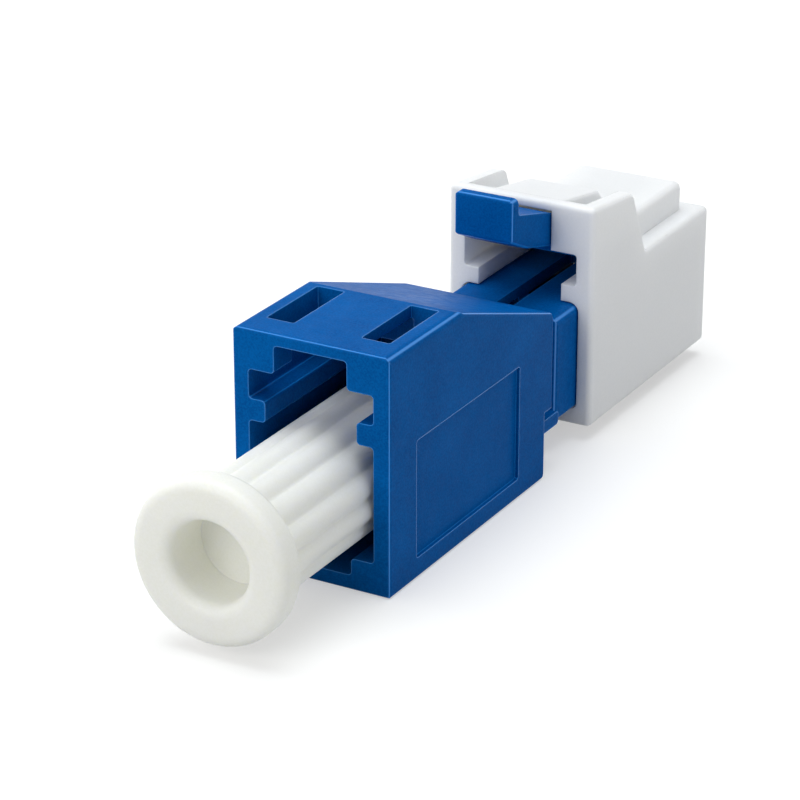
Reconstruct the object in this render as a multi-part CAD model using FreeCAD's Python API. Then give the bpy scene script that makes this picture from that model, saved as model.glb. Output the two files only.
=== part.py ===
import FreeCAD, Part
import math
import os

# Build-out fixed attenuator for LC fibre links: a female socket at one end and a male plug at the
# other, on one spring-loaded ferrule, with a white dust plug in the socket and a white dust cap on
# the plug. Sizes are in millimetres. X is across, Z is up from the housing's underside and Y runs
# along the optical axis, counted from the socket's front face towards the plug's nose.

# Socket of the female housing
AXIS_Z = 3.40
SOCKET_W = 4.936
SOCKET_L = 8.00
LEDGE_DROP = 2.176
GROOVE_W = 3.128
GROOVE_D = 0.65
RIB_RISE = 2.168
RIB_H = 0.813
RIB_W = 0.653
LUG_ROOM_H = 1.088
KEYWAY_W = 2.874
KEYWAY_H = 1.043
KEYWAY_L = 4.70
SOCKET_CORNER = 0.14

# Walls and outside of the female housing
SIDE_WALL = 0.632
ROOF = 0.438
BACK_WALL = 0.90
RIDGE_Y = 4.82
REAR_DROP = 2.54
REAR_SLEEVE_L = 2.48
REAR_ROUND = 0.40
LOWER_SETBACK = 0.65
LOWER_ROUND = 0.25
OVERHANG_Z = 2.66
HOUSING_ROUND = 0.28
HOUSING_BASE_ROUND = 0.12
HOUSING_EDGE = 0.12
WINDOW_X = 1.336
WINDOW_W = 1.10
WINDOW_Y = 1.185
WINDOW_L = 3.427
WINDOW_CORNER = 0.08
PANEL_Y = 1.88
PANEL_L = 7.62
PANEL_Z = 0.79
PANEL_H = 4.46
PANEL_D = 0.15
PANEL_CORNER = 0.12

# Optical core
FERRULE_D = 1.249
FERRULE_CHAMFER = 0.16
FERRULE_PROUD = 1.75
FERRULE_IN_SLEEVE = 2.40
FIBRE_D = 0.125
FIBRE_FIT = 0.003
SLEEVE_FIT = 0.0105
SLEEVE_WALL = 0.175
SLEEVE_L = 6.80
SLEEVE_SLIT = 0.20
SLEEVE_FLOAT = 0.05
SLEEVE_END_PLAY = 0.20
HOLDER_WALL = 0.59
HOLDER_LIP_L = 0.40
HOLDER_LIP_FIT = 0.07
HOLDER_FLANGE_D = 3.90
HOLDER_FLANGE_T = 0.80
HOLDER_FIT = 0.05
HOLDER_ROUND = 0.18

# Spring and its seats
STOP_D = 3.20
STOP_T = 0.70
STOP_BORE_FIT = 0.13
SPRING_L = 2.30
SPRING_D = 2.78
SPRING_WIRE = 0.26
SPRING_TURNS = 4.0
COLLAR_ACROSS = 2.75
COLLAR_T = 1.00
COLLAR_SPIGOT_L = 0.70
COLLAR_SPIGOT_FIT = 0.10
PRESS_GAP = 0.003

# Male plug housing
PLUG_SIDE_FIT = 0.03
PLUG_TOP_FIT = 0.078
PLUG_FLOOR_FIT = 0.056
PLUG_L = 9.61
PLUG_CORNER = 0.32
PLUG_BASE_CORNER = 0.18
PLUG_ROUND = 0.18
NECK_W = 4.40
NECK_H = 4.00
NECK_FIT = 0.05
NECK_GAP = 1.51
NECK_CORNER = 0.30
CHAMBER_D = 3.40
SHOULDER_T = 0.80
SHOULDER_BORE_FIT = 0.22
NOSE_BORE_D = 3.24
NOSE_CHAMFER = 0.20
TOP_SLOT_W = 0.74
TOP_SLOT_D = 0.59
TOP_SLOT_L = 6.83
TAB_X = 2.92
TAB_REACH = 0.87
TAB_Z = 1.64
TAB_H = 0.52
TAB_FIT = 0.05
TAB_ROUND = 0.16

# Latch lever
LEVER_W = 2.46
HINGE_SETBACK = 0.90
HINGE_RISE = 0.58
KNUCKLE_D = 0.80
KNUCKLE_FIT = 0.04
HINGE_PAD_T = 0.46
THUMB_GAP = 0.20
THUMB_RISE = 3.17
THUMB_H = 1.69
THUMB_T = 0.46
THUMB_RUN = 1.34
THUMB_SLOPE = 0.63
LEVER_TOP_STEP = 0.70
LEVER_TOP_SLOPE = 0.26
LEVER_BREAK = 3.05
LEVER_DIP_Y = 3.10
LEVER_DIP = 1.56
LEVER_ROUND = 0.16
THUMB_CORNER = 0.30
THUMB_BASE_CORNER = 0.22
LUG_W = 4.50
LUG_PLAY = 0.10
NOSE_GAP = 0.10
LUG_FLAT = 0.60
LUG_L = 1.90
LUG_H = 0.50
LUG_FIT = 0.08

# Dust plug
DUST_PLUG_HEAD_D = 6.02
DUST_PLUG_HEAD_T = 1.16
DUST_PLUG_STANDOFF = 5.53
DUST_PLUG_D = 4.74
DUST_PLUG_LOBES = 14
DUST_PLUG_LOBE_R = 0.55
DUST_PLUG_GROOVE_R = 0.14
DUST_PLUG_PHASE = 8.57
DUST_PLUG_HOLE_D = 3.00
DUST_PLUG_HOLE_L = 2.05
DUST_PLUG_RIM_R = 0.42
DUST_PLUG_EDGE_R = 0.40
DUST_PLUG_BACK_R = 0.25
DUST_PLUG_FIT = 0.05
DUST_PLUG_WEB = 1.20
DUST_PLUG_END_GAP = 0.40

# Dust cap
CAP_SETBACK = 1.696
CAP_FIT = 0.06
CAP_SIDE_WALL = 0.58
CAP_FLOOR = 0.67
CAP_BACK_WALL = 0.55
CAP_TIP_GAP = 0.25
CAP_PLATE_T = 0.47
CAP_RIB_H = 0.67
CAP_RIB_W = 0.735
CAP_LUG_ROOM_H = 1.26
CAP_LUG_ROOM_INSET = 0.12
CAP_SLOT_FIT = 0.07
CAP_SLOT_ROOM = 0.06
CAP_SLOT_BAR = 0.37
CAP_WING_T = 0.60
CAP_WING_L = 3.46
CAP_WING_FALL = 0.40
CAP_RAMP_L = 1.22
CAP_WING_CORNER = 0.50
CAP_SHELF_RISE = 0.79
CAP_ROOF_T = 0.35
CAP_HOOD_WALL = 0.22
CAP_HOOD_T = 0.35
CAP_HOOD_L = 3.10
CAP_HOOD_SLOPE = 0.18
CAP_HOOD_STEP = 0.05
CAP_BLOCK_W = 4.52
CAP_BLOCK_RISE = 1.15
CAP_BLOCK_SETBACK = 0.82
CAP_BLOCK_WALL = 0.36
CAP_BLOCK_ROUND = 0.28
CAP_HOOD_CORNER = 0.36
CAP_HOOD_ROUND = 0.16
CAP_ROUND = 0.22

# Levels that the pieces share
LEDGE_Z = AXIS_Z - LEDGE_DROP
RIB_Z = AXIS_Z + RIB_RISE
RIB_TOP = RIB_Z + RIB_H
LUG_ROOF = RIB_TOP + LUG_ROOM_H
KEYWAY_TOP = LUG_ROOF + KEYWAY_H
HOUSING_H = KEYWAY_TOP + ROOF
HOUSING_W = SOCKET_W + 2 * SIDE_WALL
PLUG_W = SOCKET_W - 2 * PLUG_SIDE_FIT
PLUG_TOP = RIB_Z - PLUG_TOP_FIT
PLUG_Z = LEDGE_Z + PLUG_FLOOR_FIT

# Stations along the axis, from the socket towards the nose
WALL_END = SOCKET_L + BACK_WALL
NECK_Y = WALL_END + HOLDER_FLANGE_T
HOUSING_L = NECK_Y + REAR_SLEEVE_L
PLUG_Y = HOUSING_L + NECK_GAP
NOSE_Y = PLUG_Y + PLUG_L
CAP_Y = PLUG_Y + CAP_SETBACK
TIP_Y = NOSE_Y + FERRULE_PROUD
CAP_END = TIP_Y + CAP_TIP_GAP + CAP_BACK_WALL

# Sizes of the core
FERRULE_R = FERRULE_D / 2
SLEEVE_R = FERRULE_R + SLEEVE_FIT
SLEEVE_OUT_R = SLEEVE_R + SLEEVE_WALL
HOLDER_BORE_R = SLEEVE_OUT_R + SLEEVE_FLOAT
HOLDER_R = HOLDER_BORE_R + HOLDER_WALL


def place_y(y):
    return lambda x, z: FreeCAD.Vector(x, y, z)


def place_x(x):
    return lambda y, z: FreeCAD.Vector(x, y, z)


def place_z(z):
    return lambda x, y: FreeCAD.Vector(x, y, z)


def place_axis(radius, y):
    return FreeCAD.Vector(0, y, AXIS_Z + radius)


def outline(corners, place):
    """Closed wire through corners (a, b, radius); a radius is held to half of its shorter side."""
    starts = []
    edges = []
    count = len(corners)
    for i, (a, b, radius) in enumerate(corners):
        before = corners[i - 1]
        after = corners[(i + 1) % count]
        len_in = math.hypot(before[0] - a, before[1] - b)
        len_out = math.hypot(after[0] - a, after[1] - b)
        in_a, in_b = (before[0] - a) / len_in, (before[1] - b) / len_in
        out_a, out_b = (after[0] - a) / len_out, (after[1] - b) / len_out
        half = math.acos(max(-1.0, min(1.0, in_a * out_a + in_b * out_b))) / 2
        cut = min(radius / math.tan(half), 0.49 * min(len_in, len_out))
        first = (a + in_a * cut, b + in_b * cut)
        last = (a + out_a * cut, b + out_b * cut)
        if cut > 0:
            held = cut * math.tan(half)
            reach = held / math.sin(half) - held
            mid_a, mid_b = in_a + out_a, in_b + out_b
            size = math.hypot(mid_a, mid_b)
            middle = (a + mid_a / size * reach, b + mid_b / size * reach)
            arc = Part.Arc(place(*first), place(*middle), place(*last))
            edges.append((i, arc.toShape()))
        starts.append((first, last))
    chain = []
    arcs = dict(edges)
    for i in range(count):
        if i in arcs:
            chain.append(arcs[i])
        here = starts[i][1]
        there = starts[(i + 1) % count][0]
        chain.append(Part.LineSegment(place(*here), place(*there)).toShape())
    return Part.Wire(chain)


def prism_x(corners, x0, x1):
    face = Part.Face(outline(corners, place_x(x0)))
    return face.extrude(FreeCAD.Vector(x1 - x0, 0, 0))


def prism_y(corners, y0, y1):
    face = Part.Face(outline(corners, place_y(y0)))
    return face.extrude(FreeCAD.Vector(0, y1 - y0, 0))


def prism_z(corners, z0, z1):
    face = Part.Face(outline(corners, place_z(z0)))
    return face.extrude(FreeCAD.Vector(0, 0, z1 - z0))


def rect(a0, a1, b0, b1, radius=0.0):
    return [(a0, b0, radius), (a1, b0, radius), (a1, b1, radius), (a0, b1, radius)]


def both_sides(right):
    """Full outline from its right half, given from top to bottom."""
    left = [(-x, z, radius) for x, z, radius in reversed(right)]
    return right + left


def turned(corners):
    """Solid of revolution about the optical axis from (radius, y, rounding) corners."""
    face = Part.Face(outline(corners, place_axis))
    return face.revolve(FreeCAD.Vector(0, 0, AXIS_Z), FreeCAD.Vector(0, 1, 0), 360)


def rod(radius, y0, y1):
    base = FreeCAD.Vector(0, y0, AXIS_Z)
    return Part.makeCylinder(radius, y1 - y0, base, FreeCAD.Vector(0, 1, 0))


def cross_rod(radius, half_width, y, z):
    base = FreeCAD.Vector(-half_width, y, z)
    return Part.makeCylinder(radius, 2 * half_width, base, FreeCAD.Vector(1, 0, 0))


def rounded(shape, radius, wanted):
    return shape.makeFillet(radius, [edge for edge in shape.Edges if wanted(edge.BoundBox)])


def on_plane_x(half_width):
    """Edges that lie in either side face of a piece."""
    return lambda box: box.XLength < 1e-6 and abs(abs(box.XMin) - half_width) < 1e-6


def on_plane_y(y):
    return lambda box: box.YLength < 1e-6 and abs(box.YMin - y) < 1e-6


# Female housing: a block with a sloped rear roof, a keyed socket in front, a socket for the plug's
# neck behind, two latch windows in the roof and a shallow panel in each side.
half_w = HOUSING_W / 2
rear_top = HOUSING_H - REAR_DROP
lower_end = HOUSING_L - LOWER_SETBACK
side = [
    (0, 0, HOUSING_EDGE),
    (0, HOUSING_H, HOUSING_EDGE),
    (RIDGE_Y, HOUSING_H, 0),
    (HOUSING_L, rear_top, REAR_ROUND),
    (HOUSING_L, OVERHANG_Z, 0),
    (lower_end, OVERHANG_Z, 0),
    (lower_end, 0, LOWER_ROUND),
]
front_half = [(half_w, HOUSING_H, HOUSING_ROUND), (half_w, 0, HOUSING_BASE_ROUND)]
plan = rect(-half_w, half_w, 0, 2 * HOUSING_L, HOUSING_EDGE)
housing = prism_x(side, -half_w, half_w)
housing = rounded(
    housing, HOUSING_EDGE,
    lambda box: on_plane_x(half_w)(box) and min(box.YLength, box.ZLength) > REAR_ROUND
)
housing = housing.common(prism_y(both_sides(front_half), -HOUSING_L, 2 * HOUSING_L))
housing = housing.common(prism_z(plan, -HOUSING_H, 2 * HOUSING_H))

socket_half = [
    (SOCKET_W / 2, LUG_ROOF, SOCKET_CORNER),
    (SOCKET_W / 2, RIB_TOP, SOCKET_CORNER),
    (SOCKET_W / 2 - RIB_W, RIB_TOP, SOCKET_CORNER),
    (SOCKET_W / 2 - RIB_W, RIB_Z, SOCKET_CORNER),
    (SOCKET_W / 2, RIB_Z, SOCKET_CORNER),
    (SOCKET_W / 2, LEDGE_Z, SOCKET_CORNER),
    (GROOVE_W / 2, LEDGE_Z, SOCKET_CORNER),
    (GROOVE_W / 2, LEDGE_Z - GROOVE_D, SOCKET_CORNER),
]
keyway_half = [
    (KEYWAY_W / 2, KEYWAY_TOP, SOCKET_CORNER),
    (KEYWAY_W / 2, LUG_ROOF, SOCKET_CORNER),
]
mouth = prism_y(both_sides(keyway_half + socket_half), -1, KEYWAY_L)
mouth = mouth.fuse(prism_y(both_sides(socket_half), -1, SOCKET_L))
housing = housing.cut(mouth)

window = rect(WINDOW_X, WINDOW_X + WINDOW_W, WINDOW_Y, WINDOW_Y + WINDOW_L, WINDOW_CORNER)
window = prism_z(window, LUG_ROOF - SOCKET_CORNER, HOUSING_H + 1)
panel = rect(PANEL_Y, PANEL_Y + PANEL_L, PANEL_Z, PANEL_Z + PANEL_H, PANEL_CORNER)
panel = prism_x(panel, half_w - PANEL_D, half_w + 1)
for cut in (window, panel):
    housing = housing.cut(cut)
    housing = housing.cut(cut.mirror(FreeCAD.Vector(0, 0, 0), FreeCAD.Vector(1, 0, 0)))

neck_z0 = AXIS_Z - NECK_H / 2
neck_z1 = AXIS_Z + NECK_H / 2
neck_room = rect(
    -NECK_W / 2 - NECK_FIT, NECK_W / 2 + NECK_FIT, neck_z0 - NECK_FIT, neck_z1 + NECK_FIT, NECK_CORNER
)
housing = housing.cut(prism_y(neck_room, WALL_END, HOUSING_L + 1))
housing = housing.cut(rod(HOLDER_R + HOLDER_FIT, SOCKET_L - 1, WALL_END + 1))

# Sleeve holder: a barrel through the housing's back wall, with a lip in front and a flange that the
# plug's neck clamps against the wall.
holder_y = SOCKET_L + BACK_WALL / 2 - SLEEVE_L / 2 - SLEEVE_END_PLAY - HOLDER_LIP_L
lip_r = FERRULE_R + HOLDER_LIP_FIT
sleeve_y = holder_y + HOLDER_LIP_L + SLEEVE_END_PLAY
sleeve_end = sleeve_y + SLEEVE_L
holder_end = sleeve_end + SLEEVE_END_PLAY
holder = turned([
    (lip_r + HOLDER_LIP_L / 2, holder_y, 0),
    (HOLDER_R, holder_y, HOLDER_ROUND),
    (HOLDER_R, WALL_END, 0),
    (HOLDER_FLANGE_D / 2, WALL_END, 0),
    (HOLDER_FLANGE_D / 2, NECK_Y, 0),
    (HOLDER_R, NECK_Y, 0),
    (HOLDER_R, holder_end, 0),
    (HOLDER_BORE_R, holder_end, 0),
    (HOLDER_BORE_R, holder_y + HOLDER_LIP_L, 0),
    (lip_r, holder_y + HOLDER_LIP_L, 0),
    (lip_r, holder_y + HOLDER_LIP_L / 2, 0),
])

# Split alignment sleeve: a thin tube with one lengthwise slit.
sleeve = rod(SLEEVE_OUT_R, sleeve_y, sleeve_end)
sleeve = sleeve.cut(rod(SLEEVE_R, sleeve_y - 1, sleeve_end + 1))
slit = rect(-SLEEVE_SLIT / 2, SLEEVE_SLIT / 2, AXIS_Z, AXIS_Z + 2 * SLEEVE_OUT_R)
sleeve = sleeve.cut(prism_y(slit, sleeve_y - 1, sleeve_end + 1))

# Ferrule with its attenuating fibre, a hexagonal collar pressed on it, and the coil spring that
# pushes the collar against the shoulder inside the plug.
ferrule_y = sleeve_end - FERRULE_IN_SLEEVE
stop_end = holder_end + STOP_T
collar_y = stop_end + SPRING_L
shoulder_y = collar_y + COLLAR_T
ferrule = turned([
    (FIBRE_D / 2 + FIBRE_FIT, ferrule_y, 0),
    (FERRULE_R - FERRULE_CHAMFER, ferrule_y, 0),
    (FERRULE_R, ferrule_y + FERRULE_CHAMFER, 0),
    (FERRULE_R, TIP_Y - FERRULE_CHAMFER, 0),
    (FERRULE_R - FERRULE_CHAMFER, TIP_Y, 0),
    (FIBRE_D / 2 + FIBRE_FIT, TIP_Y, 0),
])
fibre = rod(FIBRE_D / 2, ferrule_y, TIP_Y)

hexagon = []
for k in range(6):
    turn = math.radians(60 * k)
    across = COLLAR_ACROSS / math.sqrt(3)
    hexagon.append((across * math.cos(turn), AXIS_Z + across * math.sin(turn), 0))
spring_in_r = SPRING_D / 2 - SPRING_WIRE
collar = prism_y(hexagon, collar_y, shoulder_y)
collar = collar.fuse(rod(spring_in_r - COLLAR_SPIGOT_FIT, collar_y - COLLAR_SPIGOT_L, collar_y))
collar = collar.cut(rod(FERRULE_R + PRESS_GAP, collar_y - COLLAR_SPIGOT_L - 1, shoulder_y + 1))

# Spring stop: a ring behind the sleeve holder that closes it and carries the spring.
stop = rod(STOP_D / 2, holder_end, stop_end)
stop = stop.cut(rod(FERRULE_R + STOP_BORE_FIT, holder_end - 1, stop_end + 1))

coil_r = SPRING_D / 2 - SPRING_WIRE / 2
coil_l = SPRING_L - SPRING_WIRE
helix = Part.makeHelix(coil_l / SPRING_TURNS, coil_l, coil_r)
wire_end = Part.Wire(Part.makeCircle(
    SPRING_WIRE / 2, FreeCAD.Vector(coil_r, 0, 0), FreeCAD.Vector(0, 1, 0)
).Edges)
spring = Part.Wire(helix.Edges).makePipeShell([wire_end], True, True)
spring.rotate(FreeCAD.Vector(0, 0, 0), FreeCAD.Vector(1, 0, 0), -90)
spring.translate(FreeCAD.Vector(0, stop_end + SPRING_WIRE / 2, AXIS_Z))

# Male plug housing: a neck that seats in the female housing, a wider body with a slotted top, and a
# nose with a deep bore round the ferrule. A small tab on each side keys it in the housing's rear.
body_half = [(PLUG_W / 2, PLUG_TOP, PLUG_CORNER), (PLUG_W / 2, PLUG_Z, PLUG_BASE_CORNER)]
plug = prism_y(both_sides(body_half), PLUG_Y, NOSE_Y)
plug = plug.common(prism_x(rect(PLUG_Y, NOSE_Y, PLUG_Z, PLUG_TOP, PLUG_ROUND), -PLUG_W, PLUG_W))
plug = plug.common(prism_z(rect(-PLUG_W / 2, PLUG_W / 2, PLUG_Y, NOSE_Y, PLUG_ROUND), 0, HOUSING_H))
neck = rect(-NECK_W / 2, NECK_W / 2, neck_z0, neck_z1, NECK_CORNER)
plug = plug.fuse(prism_y(neck, NECK_Y, PLUG_Y + 2 * PLUG_ROUND))

tab_side = [
    (lower_end + TAB_FIT, TAB_Z, 0),
    (HOUSING_L + TAB_REACH, TAB_Z, TAB_ROUND),
    (HOUSING_L + TAB_REACH, TAB_Z + TAB_H, TAB_ROUND),
    (lower_end + TAB_FIT, TAB_Z + TAB_H, 0),
]
tab = prism_x(tab_side, NECK_W / 2 - NECK_CORNER, TAB_X)
plug = plug.fuse(tab)
plug = plug.fuse(tab.mirror(FreeCAD.Vector(0, 0, 0), FreeCAD.Vector(1, 0, 0)))

hinge_y = NOSE_Y - HINGE_SETBACK
hinge_z = PLUG_TOP + HINGE_RISE
knuckle_r = KNUCKLE_D / 2
seat_r = knuckle_r + KNUCKLE_FIT
pad_end = hinge_y + seat_r + HINGE_PAD_T - PLUG_ROUND
pad = [
    (hinge_y - HINGE_PAD_T, PLUG_TOP - PLUG_CORNER / 2, 0),
    (hinge_y - HINGE_PAD_T, hinge_z - 0.9 * seat_r, 0),
    (hinge_y + 0.5 * seat_r, hinge_z - 0.9 * seat_r, 0),
    (hinge_y + 0.5 * seat_r, hinge_z + 0.6 * seat_r, 0),
    (pad_end, hinge_z + 0.6 * seat_r, HINGE_PAD_T),
    (pad_end, PLUG_TOP - PLUG_CORNER / 2, 0),
]
plug = plug.fuse(prism_x(pad, -LEVER_W / 2, LEVER_W / 2))
plug = plug.cut(cross_rod(seat_r, LEVER_W, hinge_y, hinge_z))

plug = plug.cut(rod(CHAMBER_D / 2, NECK_Y - 1, shoulder_y))
plug = plug.cut(rod(FERRULE_R + SHOULDER_BORE_FIT, shoulder_y - 1, NOSE_Y))
nose_bore = turned([
    (0, shoulder_y + SHOULDER_T, 0),
    (NOSE_BORE_D / 2, shoulder_y + SHOULDER_T, 0),
    (NOSE_BORE_D / 2, NOSE_Y - NOSE_CHAMFER, 0),
    (NOSE_BORE_D / 2 + 2 * NOSE_CHAMFER, NOSE_Y + NOSE_CHAMFER, 0),
    (0, NOSE_Y + NOSE_CHAMFER, 0),
])
plug = plug.cut(nose_bore)
top_slot = rect(-TOP_SLOT_W / 2, TOP_SLOT_W / 2, PLUG_TOP - TOP_SLOT_D, PLUG_TOP + 1)
plug = plug.cut(prism_y(top_slot, HOUSING_L, PLUG_Y + TOP_SLOT_L))

# Latch lever: a tapered bar that rises from its root at the nose to a thumb end, with a ramped
# lug on each side that catches behind a socket's front wall.
thumb_y = HOUSING_L + THUMB_GAP
thumb_z = PLUG_TOP + THUMB_RISE
thumb_top = thumb_z + THUMB_H
bend_y = thumb_y + LEVER_BREAK
step_y = thumb_y + THUMB_T
bend_z = thumb_top - LEVER_TOP_STEP - LEVER_TOP_SLOPE * (bend_y - step_y)
dip_y = bend_y + LEVER_DIP_Y
dip_z = bend_z - LEVER_DIP


def tangent_point(y, z, upper):
    """Where a line from (y, z) touches the knuckle, on its upper or lower side."""
    away = math.hypot(hinge_y - y, hinge_z - z)
    aim = math.atan2(z - hinge_z, y - hinge_y)
    swing = math.acos(knuckle_r / away)
    turn = aim - swing if upper else aim + swing
    return hinge_y + knuckle_r * math.cos(turn), hinge_z + knuckle_r * math.sin(turn)


def under_thumb(box):
    at_front = abs(box.YMin - thumb_y) < 1e-6 and abs(box.ZMax - thumb_z) < 1e-6
    return at_front and on_plane_x(LEVER_W / 2)(box)


upper_y, upper_z = tangent_point(dip_y, dip_z, True)
lower_y, lower_z = tangent_point(thumb_y + THUMB_RUN, thumb_z - THUMB_SLOPE, False)
bar = [
    (thumb_y, thumb_z, LEVER_ROUND),
    (thumb_y, thumb_top, LEVER_ROUND),
    (step_y, thumb_top, LEVER_ROUND),
    (step_y, thumb_top - LEVER_TOP_STEP, LEVER_ROUND),
    (bend_y, bend_z, 2 * LEVER_W),
    (dip_y, dip_z, 2 * LEVER_W),
    (upper_y, upper_z, 0),
    (hinge_y, hinge_z, 0),
    (lower_y, lower_z, 0),
    (thumb_y + THUMB_RUN, thumb_z - THUMB_SLOPE, LEVER_W),
]
thumb_half = [(LEVER_W / 2, thumb_top, THUMB_CORNER), (LEVER_W / 2, PLUG_TOP, 0)]
bar_plan = rect(-LEVER_W / 2, LEVER_W / 2, thumb_y, NOSE_Y, LEVER_ROUND)
lever = prism_x([(thumb_y, thumb_z, 0)] + bar[1:], -LEVER_W / 2, LEVER_W / 2)
lever = rounded(lever, THUMB_BASE_CORNER, under_thumb)
lever = lever.common(prism_x(bar, -LEVER_W, LEVER_W))
lever = lever.common(prism_y(both_sides(thumb_half), thumb_y - 1, NOSE_Y))
lever = lever.common(prism_z(bar_plan, PLUG_TOP, thumb_top + 1))
lever = lever.fuse(cross_rod(knuckle_r, LEVER_W / 2, hinge_y, hinge_z))

cap_rib_z = PLUG_TOP + CAP_FIT
cap_rib_top = cap_rib_z + CAP_RIB_H
cap_lug_roof = cap_rib_top + CAP_LUG_ROOM_H
lug_y = NOSE_Y + NOSE_GAP - SOCKET_L + WINDOW_Y + LUG_PLAY
lug_top = cap_lug_roof - LUG_FIT
lug = [
    (lug_y, lug_top - LUG_H, 0),
    (lug_y, lug_top, 0),
    (lug_y + LUG_FLAT, lug_top, 0),
    (lug_y + LUG_L, lug_top - 0.7 * LUG_H, 0),
    (lug_y + LUG_L, lug_top - LUG_H, 0),
]
lever = lever.fuse(prism_x(lug, -LUG_W / 2, LUG_W / 2))

# Dust plug: a round head with a blind hole, and a hollow shaft with lengthwise lobes that slips over
# the sleeve holder's barrel. A web stands between the hole's floor and the shaft's bore.
head_y = -DUST_PLUG_STANDOFF - DUST_PLUG_HEAD_T
shaft_end = SOCKET_L - DUST_PLUG_END_GAP
hole_end = head_y + DUST_PLUG_HOLE_L
hole_r = DUST_PLUG_HOLE_D / 2
head = turned([
    (hole_r, head_y, DUST_PLUG_RIM_R),
    (DUST_PLUG_HEAD_D / 2, head_y, DUST_PLUG_EDGE_R),
    (DUST_PLUG_HEAD_D / 2, -DUST_PLUG_STANDOFF, DUST_PLUG_BACK_R),
    (hole_r, -DUST_PLUG_STANDOFF, 0),
])

lobe_at = DUST_PLUG_D / 2 - DUST_PLUG_LOBE_R
half_step = math.pi / DUST_PLUG_LOBES
reach = DUST_PLUG_LOBE_R + DUST_PLUG_GROOVE_R
groove_at = lobe_at * math.cos(half_step) + math.sqrt(reach ** 2 - (lobe_at * math.sin(half_step)) ** 2)
share = DUST_PLUG_LOBE_R / reach


def polar(radius, angle):
    return radius * math.sin(angle), AXIS_Z + radius * math.cos(angle)


def meeting(lobe_angle, groove_angle):
    """Point where a lobe's arc runs into a groove's arc."""
    lobe_x, lobe_z = polar(lobe_at, lobe_angle)
    groove_x, groove_z = polar(groove_at, groove_angle)
    return lobe_x + share * (groove_x - lobe_x), lobe_z + share * (groove_z - lobe_z)


flutes = []
on_shaft = place_y(-DUST_PLUG_STANDOFF - DUST_PLUG_BACK_R)
for k in range(DUST_PLUG_LOBES):
    groove_turn = math.radians(DUST_PLUG_PHASE) + 2 * half_step * k
    crest_turn = groove_turn + half_step
    next_turn = crest_turn + half_step
    first = on_shaft(*meeting(groove_turn - half_step, groove_turn))
    second = on_shaft(*meeting(crest_turn, groove_turn))
    third = on_shaft(*meeting(crest_turn, next_turn))
    dip = on_shaft(*polar(groove_at - DUST_PLUG_GROOVE_R, groove_turn))
    crest = on_shaft(*polar(DUST_PLUG_D / 2, crest_turn))
    flutes.append(Part.Arc(first, dip, second).toShape())
    flutes.append(Part.Arc(second, crest, third).toShape())
shaft = Part.Face(Part.Wire(flutes))
shaft = shaft.extrude(FreeCAD.Vector(0, shaft_end + DUST_PLUG_STANDOFF + DUST_PLUG_BACK_R, 0))
shaft = shaft.cut(rod(hole_r, head_y, hole_end))
shaft = shaft.cut(rod(HOLDER_R + DUST_PLUG_FIT, hole_end + DUST_PLUG_WEB, shaft_end + 1))
dust_plug = head.fuse(shaft)

# Dust cap: a box over the plug with the same keyed mouth as a socket, two side wings, a hood over the
# lever between them, and a raised block over the lever's root.
cap_half = PLUG_W / 2 + CAP_FIT + CAP_SIDE_WALL
cap_z = PLUG_Z - CAP_FIT - CAP_FLOOR
shelf_z = cap_rib_z + CAP_SHELF_RISE
slot_top = bend_z + LEVER_TOP_SLOPE * (bend_y - CAP_Y) + CAP_SLOT_ROOM
cap_top = slot_top + CAP_SLOT_BAR
plate_end = CAP_Y + CAP_PLATE_T
wing_end = CAP_Y + CAP_WING_L + CAP_RAMP_L
cap_side = [
    (CAP_Y, cap_z, 0),
    (CAP_Y, cap_top, 0),
    (CAP_Y + CAP_WING_L, cap_top - CAP_WING_FALL, CAP_WING_CORNER),
    (wing_end, shelf_z, CAP_ROUND),
    (CAP_END, shelf_z, 0),
    (CAP_END, cap_z, 0),
]
cap = prism_x(cap_side, -cap_half, cap_half)
cap = rounded(
    cap, CAP_ROUND,
    lambda box: on_plane_x(cap_half)(box) or on_plane_y(CAP_Y)(box) or on_plane_y(CAP_END)(box)
)
roof_z = cap_lug_roof + CAP_ROOF_T
hood_end = plate_end + CAP_HOOD_L
between = [
    (plate_end, roof_z, 0),
    (hood_end, roof_z, 0),
    (hood_end + roof_z - shelf_z, shelf_z, 0),
    (wing_end + 1, shelf_z, 0),
    (wing_end + 1, cap_top + 1, 0),
    (plate_end, cap_top + 1, 0),
]
cap = cap.cut(prism_x(between, CAP_WING_T - cap_half, cap_half - CAP_WING_T))

slot_half = LEVER_W / 2 + CAP_SLOT_FIT
hood_half = slot_half + CAP_HOOD_WALL
block_top = shelf_z + CAP_BLOCK_RISE
block_end = CAP_END - CAP_BLOCK_SETBACK
hood_top = cap_top - CAP_HOOD_STEP
hood_end_z = hood_top - CAP_HOOD_SLOPE * CAP_HOOD_L
block_y = hood_end + hood_end_z - block_top
block_base = shelf_z - CAP_BLOCK_ROUND
block = prism_x(rect(hood_end, block_end, block_base, block_top), -CAP_BLOCK_W / 2, CAP_BLOCK_W / 2)
block = rounded(block, CAP_BLOCK_ROUND, lambda box: box.ZMax > shelf_z)
hood = [
    (plate_end - CAP_PLATE_T / 2, hood_top, 0),
    (hood_end, hood_end_z, CAP_HOOD_CORNER),
    (block_y, block_top, 0),
    (block_y, block_top - CAP_BLOCK_WALL, 0),
    (plate_end - CAP_PLATE_T / 2, block_top - CAP_BLOCK_WALL, 0),
]
hood = prism_x(hood, -hood_half, hood_half)
hood = rounded(
    hood, CAP_HOOD_ROUND, lambda box: on_plane_x(hood_half)(box) and box.ZMin > block_top - 1e-6
)
cap = cap.fuse(block)
cap = cap.fuse(hood)

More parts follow.
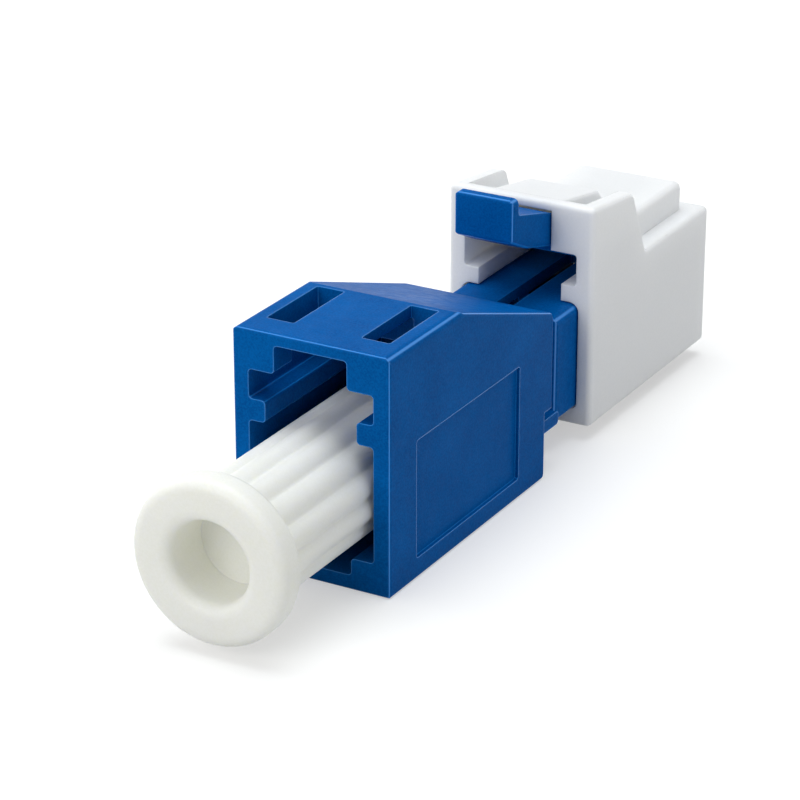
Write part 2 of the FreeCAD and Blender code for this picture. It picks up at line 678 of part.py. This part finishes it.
cap_room_end = TIP_Y + CAP_TIP_GAP
room_half = [
    (PLUG_W / 2 + CAP_FIT, cap_rib_z, PLUG_CORNER + CAP_FIT),
    (PLUG_W / 2 + CAP_FIT, PLUG_Z - CAP_FIT, PLUG_BASE_CORNER + CAP_FIT),
]
cap = cap.cut(prism_y(both_sides(room_half), CAP_Y - 1, cap_room_end))
lug_half = PLUG_W / 2 + CAP_FIT - CAP_LUG_ROOM_INSET
lug_room = rect(-lug_half, lug_half, cap_rib_top, cap_lug_roof, SOCKET_CORNER)
cap = cap.cut(prism_y(lug_room, CAP_Y - 1, hood_end))
lever_room_end = block_end - CAP_BLOCK_WALL
rib_gap = rect(
    CAP_RIB_W - PLUG_W / 2 - CAP_FIT, PLUG_W / 2 + CAP_FIT - CAP_RIB_W,
    cap_rib_z - CAP_FIT - PLUG_CORNER, cap_rib_top + SOCKET_CORNER
)
cap = cap.cut(prism_y(rib_gap, CAP_Y - 1, lever_room_end))
ceiling = block_top - CAP_BLOCK_WALL
tunnel = [
    (CAP_Y - 1, cap_rib_top, 0),
    (CAP_Y - 1, slot_top, 0),
    (plate_end, slot_top, 0),
    (plate_end, hood_top - CAP_HOOD_T, 0),
    (hood_end, hood_end_z - CAP_HOOD_T, 0),
    (block_y, ceiling, 0),
    (lever_room_end, ceiling, 0),
    (lever_room_end, cap_rib_top, 0),
]
cap = cap.cut(prism_x(tunnel, -slot_half, slot_half))

pieces = {
    "adapter_housing": housing,
    "sleeve_holder": holder,
    "split_sleeve": sleeve,
    "spring_stop": stop,
    "coil_spring": spring,
    "plug_housing": plug,
    "latch_lever": lever,
    "ferrule": ferrule,
    "attenuating_fibre": fibre,
    "ferrule_collar": collar,
    "dust_plug": dust_plug,
    "dust_cap": cap,
}

# The origin lies on the housing's underside level, below the middle of the overall length.
middle_y = (head_y + CAP_END) / 2
os.makedirs("parts", exist_ok=True)
for name, shape in pieces.items():
    solid = shape.removeSplitter()
    solid.translate(FreeCAD.Vector(0, -middle_y, 0))
    if len(solid.Solids) != 1 or not solid.isValid():
        raise ValueError(name + " is not one valid solid")
    solid.Solids[0].exportStep("parts/" + name + ".step")
    box = solid.BoundBox
    print(name, round(solid.Volume, 3), [round(v, 3) for v in (
        box.XMin, box.XMax, box.YMin, box.YMax, box.ZMin, box.ZMax
    )])
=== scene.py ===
import math

import bmesh
import bpy
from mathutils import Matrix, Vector


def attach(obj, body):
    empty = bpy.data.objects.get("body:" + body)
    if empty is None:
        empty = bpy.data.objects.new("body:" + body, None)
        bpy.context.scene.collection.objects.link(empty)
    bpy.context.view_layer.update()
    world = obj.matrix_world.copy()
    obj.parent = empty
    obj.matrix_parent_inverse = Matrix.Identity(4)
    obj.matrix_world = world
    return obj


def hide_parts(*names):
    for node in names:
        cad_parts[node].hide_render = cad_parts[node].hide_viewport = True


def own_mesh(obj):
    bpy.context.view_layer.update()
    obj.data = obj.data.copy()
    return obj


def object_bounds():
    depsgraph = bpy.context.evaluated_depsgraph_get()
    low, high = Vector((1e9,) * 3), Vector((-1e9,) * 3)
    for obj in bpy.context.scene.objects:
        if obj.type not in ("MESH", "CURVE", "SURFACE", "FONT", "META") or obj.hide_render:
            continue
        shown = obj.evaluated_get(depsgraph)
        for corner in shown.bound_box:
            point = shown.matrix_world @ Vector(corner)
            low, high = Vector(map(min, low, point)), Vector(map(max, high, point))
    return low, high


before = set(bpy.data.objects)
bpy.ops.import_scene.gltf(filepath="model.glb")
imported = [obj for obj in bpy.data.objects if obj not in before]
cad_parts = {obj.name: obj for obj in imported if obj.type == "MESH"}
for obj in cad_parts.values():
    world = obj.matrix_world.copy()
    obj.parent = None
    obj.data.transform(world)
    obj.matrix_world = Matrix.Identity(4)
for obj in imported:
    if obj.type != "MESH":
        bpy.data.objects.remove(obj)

cad_low, cad_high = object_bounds()


# Female housing: one blue injection moulding with a keyed socket in front and a sloped roof behind.
# Its tool was spark-eroded, so every face has a fine even grain, and the edges are polished smooth
# where the steel halves met and where fingers have rubbed them; a paler blue painted along them
# stands in for the highlight they catch.
BLUE = (0.0002, 0.078, 0.305, 1)
BLUE_PALE = (0.0004, 0.122, 0.440, 1)
# The paler blue for the rounded edges is a painted highlight.
BLUE_EDGE_HIGHLIGHT = (0.012, 0.240, 0.740, 1)
GRAIN_SHARE = 0.6
GRAIN_DEPTH = 0.00001
FLAT_NORMAL = 0.86
LEANING_NORMAL = 0.76
EDGE_REACH = 0.90
EDGE_POLISH = -0.10
EDGE_COAT_ROUGHNESS = 0.22

# A Mix node has sockets for each kind of value, so those for floats and colours go by number.
MIX_SHARE = 0
FLOAT_A, FLOAT_B, FLOAT_OUT = 2, 3, 0
COLOUR_A, COLOUR_B, COLOUR_OUT = 6, 7, 2


def add(tree, kind, place, **values):
    """One shader node, with its properties or its input values set by name."""
    node = tree.nodes.new("ShaderNode" + kind)
    node.location = place
    for name, value in values.items():
        if hasattr(node, name):
            setattr(node, name, value)
        else:
            node.inputs[name.replace("_", " ")].default_value = value
    return node


def join(tree, links):
    """Links each pair of sockets."""
    for start, end in links:
        tree.links.new(start, end)


def new_group(name, takes, gives):
    """An empty shader group with float or vector inputs and outputs."""
    tree = bpy.data.node_groups.new(name, "ShaderNodeTree")
    for label, kind in takes:
        tree.interface.new_socket(label, in_out="INPUT", socket_type="NodeSocket" + kind)
    for label, kind in gives:
        tree.interface.new_socket(label, in_out="OUTPUT", socket_type="NodeSocket" + kind)
    start = tree.nodes.new("NodeGroupInput")
    end = tree.nodes.new("NodeGroupOutput")
    start.location, end.location = (-900, 0), (700, 0)
    return tree, start, end


# The moulded skin that all the plastics share: spark-eroded grain, and slow drifts of tone and
# gloss.
skin, skin_in, skin_out = new_group(
    "moulded_skin",
    [("Place", "Vector"), ("Grain", "Float")],
    [("Tone", "Float"), ("Gloss", "Float"), ("Height", "Float")],
)
drift = add(skin, "TexNoise", (-600, 250), Scale=420, Detail=3, Roughness=0.6)
patch = add(skin, "TexNoise", (-600, 0), Scale=2600, Detail=4, Roughness=0.65)
grain = add(skin, "TexNoise", (-600, -250), Detail=3, Roughness=0.7)
drift_range = add(skin, "MapRange", (-200, 250), From_Min=0.35, From_Max=0.65)
patch_range = add(skin, "MapRange", (-200, 0), From_Min=0.35, From_Max=0.68)
grain_range = add(skin, "MapRange", (-200, -250), From_Min=0.41, From_Max=0.59)
speckle = add(skin, "Mix", (100, 150), data_type="FLOAT")
speckle.inputs[MIX_SHARE].default_value = GRAIN_SHARE
join(skin, [
    (skin_in.outputs["Place"], drift.inputs["Vector"]),
    (skin_in.outputs["Place"], patch.inputs["Vector"]),
    (skin_in.outputs["Place"], grain.inputs["Vector"]),
    (skin_in.outputs["Grain"], grain.inputs["Scale"]),
    (drift.outputs["Fac"], drift_range.inputs["Value"]),
    (patch.outputs["Fac"], patch_range.inputs["Value"]),
    (grain.outputs["Fac"], grain_range.inputs["Value"]),
    (drift_range.outputs["Result"], speckle.inputs[FLOAT_A]),
    (grain_range.outputs["Result"], speckle.inputs[FLOAT_B]),
    (speckle.outputs[FLOAT_OUT], skin_out.inputs["Tone"]),
    (patch_range.outputs["Result"], skin_out.inputs["Gloss"]),
    (grain.outputs["Fac"], skin_out.inputs["Height"]),
])

# The small radius that a tool leaves on every edge, as a normal and as a mask of the edge itself;
# the plastics also use the mask to paint a highlight along their edges.
# The faces of the square mouldings lie along the axes, so a normal that leans off all three is an
# edge there too. Square is 0 for round mouldings.
edge, edge_in, edge_out = new_group(
    "moulded_edge",
    [("Radius", "Float"), ("Reach", "Float"), ("Square", "Float")],
    [("Normal", "Vector"), ("Edge", "Float")],
)
soft = add(edge, "Bevel", (-700, 150), samples=8)
flat = add(edge, "NewGeometry", (-700, -100))
own = add(edge, "TexCoord", (-700, -350))
turn = add(edge, "VectorMath", (-450, 100), operation="DOT_PRODUCT")
away = add(edge, "MapRange", (-200, 100), From_Min=1.0)
upright = add(edge, "VectorMath", (-500, -250), operation="ABSOLUTE")
parts = add(edge, "SeparateXYZ", (-350, -250))
wide = add(edge, "Math", (-200, -200), operation="MAXIMUM")
widest = add(edge, "Math", (-50, -250), operation="MAXIMUM")
leaning = add(edge, "MapRange", (100, -250), From_Min=FLAT_NORMAL, From_Max=LEANING_NORMAL)
moulded = add(edge, "Math", (270, -200), operation="MULTIPLY")
either = add(edge, "Math", (450, 0), operation="MAXIMUM")
join(edge, [
    (edge_in.outputs["Radius"], soft.inputs["Radius"]),
    (soft.outputs["Normal"], turn.inputs[0]),
    (flat.outputs["Normal"], turn.inputs[1]),
    (turn.outputs["Value"], away.inputs["Value"]),
    (edge_in.outputs["Reach"], away.inputs["From Max"]),
    (own.outputs["Normal"], upright.inputs[0]),
    (upright.outputs["Vector"], parts.inputs["Vector"]),
    (parts.outputs["X"], wide.inputs[0]),
    (parts.outputs["Y"], wide.inputs[1]),
    (wide.outputs["Value"], widest.inputs[0]),
    (parts.outputs["Z"], widest.inputs[1]),
    (widest.outputs["Value"], leaning.inputs["Value"]),
    (leaning.outputs["Result"], moulded.inputs[0]),
    (edge_in.outputs["Square"], moulded.inputs[1]),
    (moulded.outputs["Value"], either.inputs[0]),
    (away.outputs["Result"], either.inputs[1]),
    (either.outputs["Value"], edge_out.inputs["Edge"]),
    (soft.outputs["Normal"], edge_out.inputs["Normal"]),
])


def plastic(name, dark, pale, edge_highlight_colour, grain_size, radius, rough, bump, square=1.0):
    """A moulded plastic: two tones of its colour, a third painted at its rounded edges as a
    highlight, and a grain.
    """
    material = bpy.data.materials.new(name)
    material.use_nodes = True
    tree = material.node_tree
    shader = tree.nodes["Principled BSDF"]
    shader.inputs["Coat Roughness"].default_value = EDGE_COAT_ROUGHNESS
    place = add(tree, "TexCoord", (-1300, 0))
    surface = add(tree, "Group", (-1000, 100), node_tree=skin)
    surface.inputs["Grain"].default_value = 1 / grain_size
    corner = add(tree, "Group", (-1000, -250), node_tree=edge)
    corner.inputs["Radius"].default_value = radius
    corner.inputs["Reach"].default_value = EDGE_REACH
    corner.inputs["Square"].default_value = square
    tone = add(tree, "Mix", (-650, 250), data_type="RGBA")
    tone.inputs[COLOUR_A].default_value = dark
    tone.inputs[COLOUR_B].default_value = pale
    # Painted highlight: the edge mask mixes a lighter colour onto the rounded edges.
    edge_highlight_mix = add(tree, "Mix", (-400, 250), data_type="RGBA")
    edge_highlight_mix.inputs[COLOUR_B].default_value = edge_highlight_colour
    matt = add(tree, "MapRange", (-650, 0), To_Min=rough[0], To_Max=rough[1])
    sheen = add(tree, "Math", (-400, 0), operation="MULTIPLY_ADD")
    sheen.inputs[1].default_value = EDGE_POLISH
    relief = add(tree, "Bump", (-400, -250), Strength=bump, Distance=GRAIN_DEPTH)
    join(tree, [
        (place.outputs["Object"], surface.inputs["Place"]),
        (surface.outputs["Tone"], tone.inputs[MIX_SHARE]),
        (tone.outputs[COLOUR_OUT], edge_highlight_mix.inputs[COLOUR_A]),
        (corner.outputs["Edge"], edge_highlight_mix.inputs[MIX_SHARE]),
        (edge_highlight_mix.outputs[COLOUR_OUT], shader.inputs["Base Color"]),
        (surface.outputs["Gloss"], matt.inputs["Value"]),
        (corner.outputs["Edge"], sheen.inputs[0]),
        (matt.outputs["Result"], sheen.inputs[2]),
        (sheen.outputs["Value"], shader.inputs["Roughness"]),
        (corner.outputs["Edge"], shader.inputs["Coat Weight"]),
        (surface.outputs["Height"], relief.inputs["Height"]),
        (corner.outputs["Normal"], relief.inputs["Normal"]),
        (relief.outputs["Normal"], shader.inputs["Normal"]),
    ])
    return material, shader


def dress(node, material):
    """Puts a material on a carried-over node."""
    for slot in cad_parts[node].material_slots:
        slot.material = material


blue, blue_shader = plastic(
    "blue_moulding", BLUE, BLUE_PALE, BLUE_EDGE_HIGHLIGHT,
    grain_size=0.00008, radius=0.00007, rough=(0.34, 0.46), bump=0.35,
)
blue_shader.inputs["Specular IOR Level"].default_value = 0.015
dress("adapter_housing", blue)


# Sleeve holder and split sleeve: a matt off-white barrel, and the slit ceramic tube inside it that
# lines up the two ferrules. The ceramic is ground to size on a centreless grinder and polished.
HOLDER = (0.70, 0.70, 0.65, 1)
HOLDER_PALE = (0.76, 0.76, 0.72, 1)
CERAMIC = (0.80, 0.79, 0.73, 1)
CERAMIC_PALE = (0.88, 0.87, 0.82, 1)
RING_STRETCH = (0.04, 1.0, 0.04)
RING_DEPTH = 0.000005

# Its rounded edges take the paler tone as a painted highlight.
holder_plastic, holder_shader = plastic(
    "holder_moulding", HOLDER, HOLDER_PALE, HOLDER_PALE,
    grain_size=0.00006, radius=0.00004, rough=(0.46, 0.58), bump=0.20, square=0.0,
)
holder_shader.inputs["Specular IOR Level"].default_value = 0.35
dress("sleeve_holder", holder_plastic)

# Marks of a tool that went round the optical axis, which runs along Y.
rings, rings_in, rings_out = new_group(
    "turned_rings",
    [("Place", "Vector"), ("Spacing", "Float")],
    [("Ring", "Float"), ("Cloud", "Float")],
)
squeeze = add(rings, "VectorMath", (-650, 100), operation="MULTIPLY")
squeeze.inputs[1].default_value = RING_STRETCH
lines = add(rings, "TexNoise", (-400, 100), Detail=4, Roughness=0.7)
cloud = add(rings, "TexNoise", (-400, -200), Scale=1500, Detail=3)
join(rings, [
    (rings_in.outputs["Place"], squeeze.inputs[0]),
    (squeeze.outputs["Vector"], lines.inputs["Vector"]),
    (rings_in.outputs["Spacing"], lines.inputs["Scale"]),
    (rings_in.outputs["Place"], cloud.inputs["Vector"]),
    (lines.outputs["Fac"], rings_out.inputs["Ring"]),
    (cloud.outputs["Fac"], rings_out.inputs["Cloud"]),
])


def worked(name, dark, pale, spacing, rough, bump):
    """A ground or turned surface: rings round the axis in its tone, gloss and relief."""
    material = bpy.data.materials.new(name)
    material.use_nodes = True
    tree = material.node_tree
    shader = tree.nodes["Principled BSDF"]
    place = add(tree, "TexCoord", (-1100, 0))
    marks = add(tree, "Group", (-850, 0), node_tree=rings)
    marks.inputs["Spacing"].default_value = 1 / spacing
    tone = add(tree, "Mix", (-500, 250), data_type="RGBA")
    tone.inputs[COLOUR_A].default_value = dark
    tone.inputs[COLOUR_B].default_value = pale
    gloss = add(
        tree, "MapRange", (-500, 0),
        From_Min=0.3, From_Max=0.7, To_Min=rough[0], To_Max=rough[1],
    )
    relief = add(tree, "Bump", (-500, -250), Strength=bump, Distance=RING_DEPTH)
    join(tree, [
        (place.outputs["Object"], marks.inputs["Place"]),
        (marks.outputs["Cloud"], tone.inputs[MIX_SHARE]),
        (tone.outputs[COLOUR_OUT], shader.inputs["Base Color"]),
        (marks.outputs["Ring"], gloss.inputs["Value"]),
        (gloss.outputs["Result"], shader.inputs["Roughness"]),
        (marks.outputs["Ring"], relief.inputs["Height"]),
        (relief.outputs["Normal"], shader.inputs["Normal"]),
    ])
    return material, shader


ceramic, ceramic_shader = worked(
    "ground_ceramic", CERAMIC, CERAMIC_PALE, spacing=0.00006, rough=(0.12, 0.24), bump=0.08,
)
ceramic_shader.inputs["IOR"].default_value = 2.1
dress("split_sleeve", ceramic)


# Spring stop, collar and coil spring: a turned and nickel-plated ring and hexagon, and a spring
# wound from drawn wire, which keeps the die's fine scratches. The spring stands on the stop and
# shortens when the ferrule is pushed back.
NICKEL = (0.62, 0.61, 0.57, 1)
NICKEL_PALE = (0.74, 0.73, 0.69, 1)
WIRE = (0.42, 0.42, 0.43, 1)
WIRE_PALE = (0.56, 0.56, 0.57, 1)
OPTICAL_AXIS = 0.00340
SPRING_SEAT = 0.00317
SPRING_LENGTH = 0.00230
SPRING_TURNS = 4
STEPS_A_TURN = 36
COIL_RADIUS = 0.00126
WIRE_RADIUS = 0.00013
WIRE_SIDES = 16

nickel, nickel_shader = worked(
    "nickel_plate", NICKEL, NICKEL_PALE, spacing=0.00008, rough=(0.20, 0.38), bump=0.15,
)
nickel_shader.inputs["Metallic"].default_value = 1.0
dress("spring_stop", nickel)
dress("ferrule_collar", nickel)

wire, wire_shader = worked(
    "drawn_wire", WIRE, WIRE_PALE, spacing=0.00005, rough=(0.26, 0.42), bump=0.12,
)
wire_shader.inputs["Metallic"].default_value = 1.0
dress("coil_spring", wire)

coil_mesh = bmesh.new()
bmesh.ops.create_circle(coil_mesh, segments=WIRE_SIDES, radius=WIRE_RADIUS)
first_end = Vector((COIL_RADIUS, SPRING_SEAT + WIRE_RADIUS, OPTICAL_AXIS))
bmesh.ops.translate(coil_mesh, verts=coil_mesh.verts, vec=first_end)
coil_steps = SPRING_TURNS * STEPS_A_TURN
rise = (SPRING_LENGTH - 2 * WIRE_RADIUS) / coil_steps
bmesh.ops.spin(
    coil_mesh, geom=coil_mesh.verts[:] + coil_mesh.edges[:],
    cent=(0, 0, OPTICAL_AXIS), axis=(0, 1, 0),
    dvec=(0, rise, 0), angle=2 * math.pi * SPRING_TURNS, steps=coil_steps,
)
for face in coil_mesh.faces:
    face.smooth = True
open_ends = [side for side in coil_mesh.edges if side.is_boundary]
bmesh.ops.edgeloop_fill(coil_mesh, edges=open_ends)
bmesh.ops.recalc_face_normals(coil_mesh, faces=coil_mesh.faces)
coil_data = bpy.data.meshes.new("wound_spring")
coil_mesh.to_mesh(coil_data)
coil_mesh.free()
coil_data.materials.append(wire)
coil = bpy.data.objects.new("wound_spring", coil_data)
bpy.context.scene.collection.objects.link(coil)
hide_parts("coil_spring")
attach(coil, "attenuator")
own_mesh(coil)


# Ferrule and attenuating fibre: the ceramic rod with a polished end, and the doped glass glued
# along its middle, which soaks up part of the light and so has a slight smoky tint.
GLASS = (0.72, 0.80, 0.78, 1)
GLASS_PALE = (0.86, 0.92, 0.90, 1)

dress("ferrule", ceramic)
glass, glass_shader = worked(
    "doped_glass", GLASS, GLASS_PALE, spacing=0.00010, rough=(0.02, 0.06), bump=0.02,
)
glass_shader.inputs["Transmission Weight"].default_value = 1.0
glass_shader.inputs["IOR"].default_value = 1.46
dress("attenuating_fibre", glass)


# Male plug and latch lever: moulded in one shot of the same blue, so that the lever bends at the
# plug's nose. The plug's neck sits in the housing's rear end and clamps the holder's flange.
dress("plug_housing", blue)
dress("latch_lever", blue)


# Dust plug: soft ivory polyethylene, a little translucent, so light runs round its lobes and glows
# warm in the blind hole. It is ejected warm, which leaves its skin faintly waxy.
IVORY = (0.928, 0.931, 0.850, 1)
IVORY_PALE = (0.968, 0.970, 0.907, 1)
# The paler ivory for the rounded edges is a painted highlight.
IVORY_EDGE_HIGHLIGHT = (0.965, 0.965, 0.925, 1)

ivory, ivory_shader = plastic(
    "ivory_moulding", IVORY, IVORY_PALE, IVORY_EDGE_HIGHLIGHT,
    grain_size=0.00009, radius=0.00006, rough=(0.34, 0.46), bump=0.15, square=0.0,
)
ivory_shader.inputs["Subsurface Weight"].default_value = 0.35
ivory_shader.inputs["Subsurface Radius"].default_value = (1.0, 0.92, 0.60)
ivory_shader.inputs["Subsurface Scale"].default_value = 0.0022
ivory_shader.inputs["Specular IOR Level"].default_value = 0.30
dress("dust_plug", ivory)


# Dust cap: a stiffer, cooler white moulding with thin walls. It is pushed over the plug's nose and
# covers the latch's root, and only friction holds it there.
WHITE = (0.925, 0.937, 0.948, 1)
WHITE_PALE = (0.966, 0.974, 0.982, 1)
# The whiter tone for the rounded edges is a painted highlight.
WHITE_EDGE_HIGHLIGHT = (0.96, 0.97, 0.98, 1)

white, white_shader = plastic(
    "white_moulding", WHITE, WHITE_PALE, WHITE_EDGE_HIGHLIGHT,
    grain_size=0.00010, radius=0.00007, rough=(0.36, 0.48), bump=0.25,
)
white_shader.inputs["Subsurface Weight"].default_value = 0.40
white_shader.inputs["Subsurface Radius"].default_value = (1.0, 0.95, 0.85)
white_shader.inputs["Subsurface Scale"].default_value = 0.0016
white_shader.inputs["Specular IOR Level"].default_value = 0.30
dress("dust_cap", white)


# Studio: a pale sheet under the part, one big lamp overhead, a smaller one in front and a faint one
# on each side, with white all round as the photograph has. The sheet whitens away from the part.
SHEET_HALF = 0.60
SHEET_GAP = 0.00002
SHEET = (0.66, 0.66, 0.66, 1)
SHEET_NEAR = 0.05
SHEET_FAR = 0.22
SHEET_LIFT = 0.44
ROOM_LIGHT = 0.26
LENS_MM = 143.05
SENSOR_MM = 36.0
CLIP_START = 0.002
CLIP_END = 10
AZIMUTH = math.radians(29.523)
ELEVATION = math.radians(23.153)
CAMERA_PLACE = Vector((0.051533, -0.094395, 0.049237))


def seen_or_mirrored(tree, place):
    """1 for rays from the camera, a reflection or through glass, and 0 for light that spreads."""
    path = add(tree, "LightPath", place)
    mirrored = add(tree, "Math", (place[0] + 200, place[1]), operation="MAXIMUM")
    either = add(tree, "Math", (place[0] + 400, place[1]), operation="MAXIMUM")
    join(tree, [
        (path.outputs["Is Camera Ray"], mirrored.inputs[0]),
        (path.outputs["Is Glossy Ray"], mirrored.inputs[1]),
        (mirrored.outputs["Value"], either.inputs[0]),
        (path.outputs["Is Transmission Ray"], either.inputs[1]),
    ])
    return either.outputs["Value"]


sheet_mesh = bmesh.new()
bmesh.ops.create_grid(sheet_mesh, x_segments=1, y_segments=1, size=SHEET_HALF)
bmesh.ops.translate(sheet_mesh, verts=sheet_mesh.verts, vec=(0, 0, cad_low.z - SHEET_GAP))
sheet_data = bpy.data.meshes.new("studio_sheet")
sheet_mesh.to_mesh(sheet_data)
sheet_mesh.free()
sheet = bpy.data.objects.new("studio_sheet", sheet_data)
bpy.context.scene.collection.objects.link(sheet)

paper = bpy.data.materials.new("studio_paper")
paper.use_nodes = True
tree = paper.node_tree
tree.nodes.remove(tree.nodes["Principled BSDF"])
matt = add(tree, "BsdfDiffuse", (-200, 100), Color=SHEET)
glow = add(tree, "Emission", (-200, -100))
both = add(tree, "AddShader", (50, 0))
lift = add(tree, "Math", (-400, -100), operation="MULTIPLY")
spot = add(tree, "TexCoord", (-1000, -350))
distance = add(tree, "VectorMath", (-800, -350), operation="LENGTH")
whiter = add(
    tree, "MapRange", (-600, -350),
    From_Min=SHEET_NEAR, From_Max=SHEET_FAR, To_Min=SHEET_LIFT, To_Max=1.0,
)
join(tree, [
    (spot.outputs["Object"], distance.inputs[0]),
    (distance.outputs["Value"], whiter.inputs["Value"]),
    (seen_or_mirrored(tree, (-1000, -100)), lift.inputs[0]),
    (whiter.outputs["Result"], lift.inputs[1]),
    (lift.outputs["Value"], glow.inputs["Strength"]),
    (matt.outputs["BSDF"], both.inputs[0]),
    (glow.outputs["Emission"], both.inputs[1]),
    (both.outputs["Shader"], tree.nodes["Material Output"].inputs["Surface"]),
])
sheet_data.materials.append(paper)

world = bpy.data.worlds.new("white_studio")
world.use_nodes = True
bpy.context.scene.world = world
tree = world.node_tree
sky = tree.nodes["Background"]
sky.inputs["Color"].default_value = (1, 1, 1, 1)
level = add(tree, "MapRange", (-300, 0), To_Min=ROOM_LIGHT, To_Max=1.0)
join(tree, [
    (seen_or_mirrored(tree, (-900, 0)), level.inputs["Value"]),
    (level.outputs["Result"], sky.inputs["Strength"]),
])


def lamp(name, place, aim, size, watts, colour):
    """A square area lamp turned towards a point."""
    light = bpy.data.lights.new(name, "AREA")
    light.shape = "SQUARE"
    light.size, light.energy, light.color = size, watts, colour
    stand = bpy.data.objects.new(name, light)
    stand.location = place
    stand.rotation_euler = (Vector(aim) - Vector(place)).to_track_quat("-Z", "Y").to_euler()
    bpy.context.scene.collection.objects.link(stand)


lamp(
    "overhead", place=(-0.03, 0.02, 0.28), aim=(0, 0, 0),
    size=0.26, watts=0.60, colour=(0.94, 0.98, 1.0),
)
lamp(
    "front_left", place=(-0.08, -0.27, 0.15), aim=(0, 0, 0.004),
    size=0.18, watts=0.33, colour=(1.0, 0.99, 0.97),
)
lamp(
    "left", place=(-0.30, -0.02, 0.13), aim=(0, 0, 0.004),
    size=0.20, watts=0.13, colour=(1.0, 0.99, 0.97),
)
lamp(
    "right", place=(0.32, 0.02, 0.10), aim=(0, 0, 0.004),
    size=0.20, watts=0.13, colour=(1.0, 1.0, 1.0),
)

lens = bpy.data.cameras.new("photo_camera")
lens.lens, lens.sensor_width = LENS_MM, SENSOR_MM
lens.clip_start, lens.clip_end = CLIP_START, CLIP_END
camera = bpy.data.objects.new("photo_camera", lens)
camera.location = CAMERA_PLACE
ahead = Vector((
    -math.sin(AZIMUTH) * math.cos(ELEVATION),
    math.cos(AZIMUTH) * math.cos(ELEVATION),
    -math.sin(ELEVATION),
))
camera.rotation_euler = ahead.to_track_quat("-Z", "Y").to_euler()
bpy.context.scene.collection.objects.link(camera)
bpy.context.scene.camera = camera
bpy.context.scene.view_settings.view_transform = "Standard"
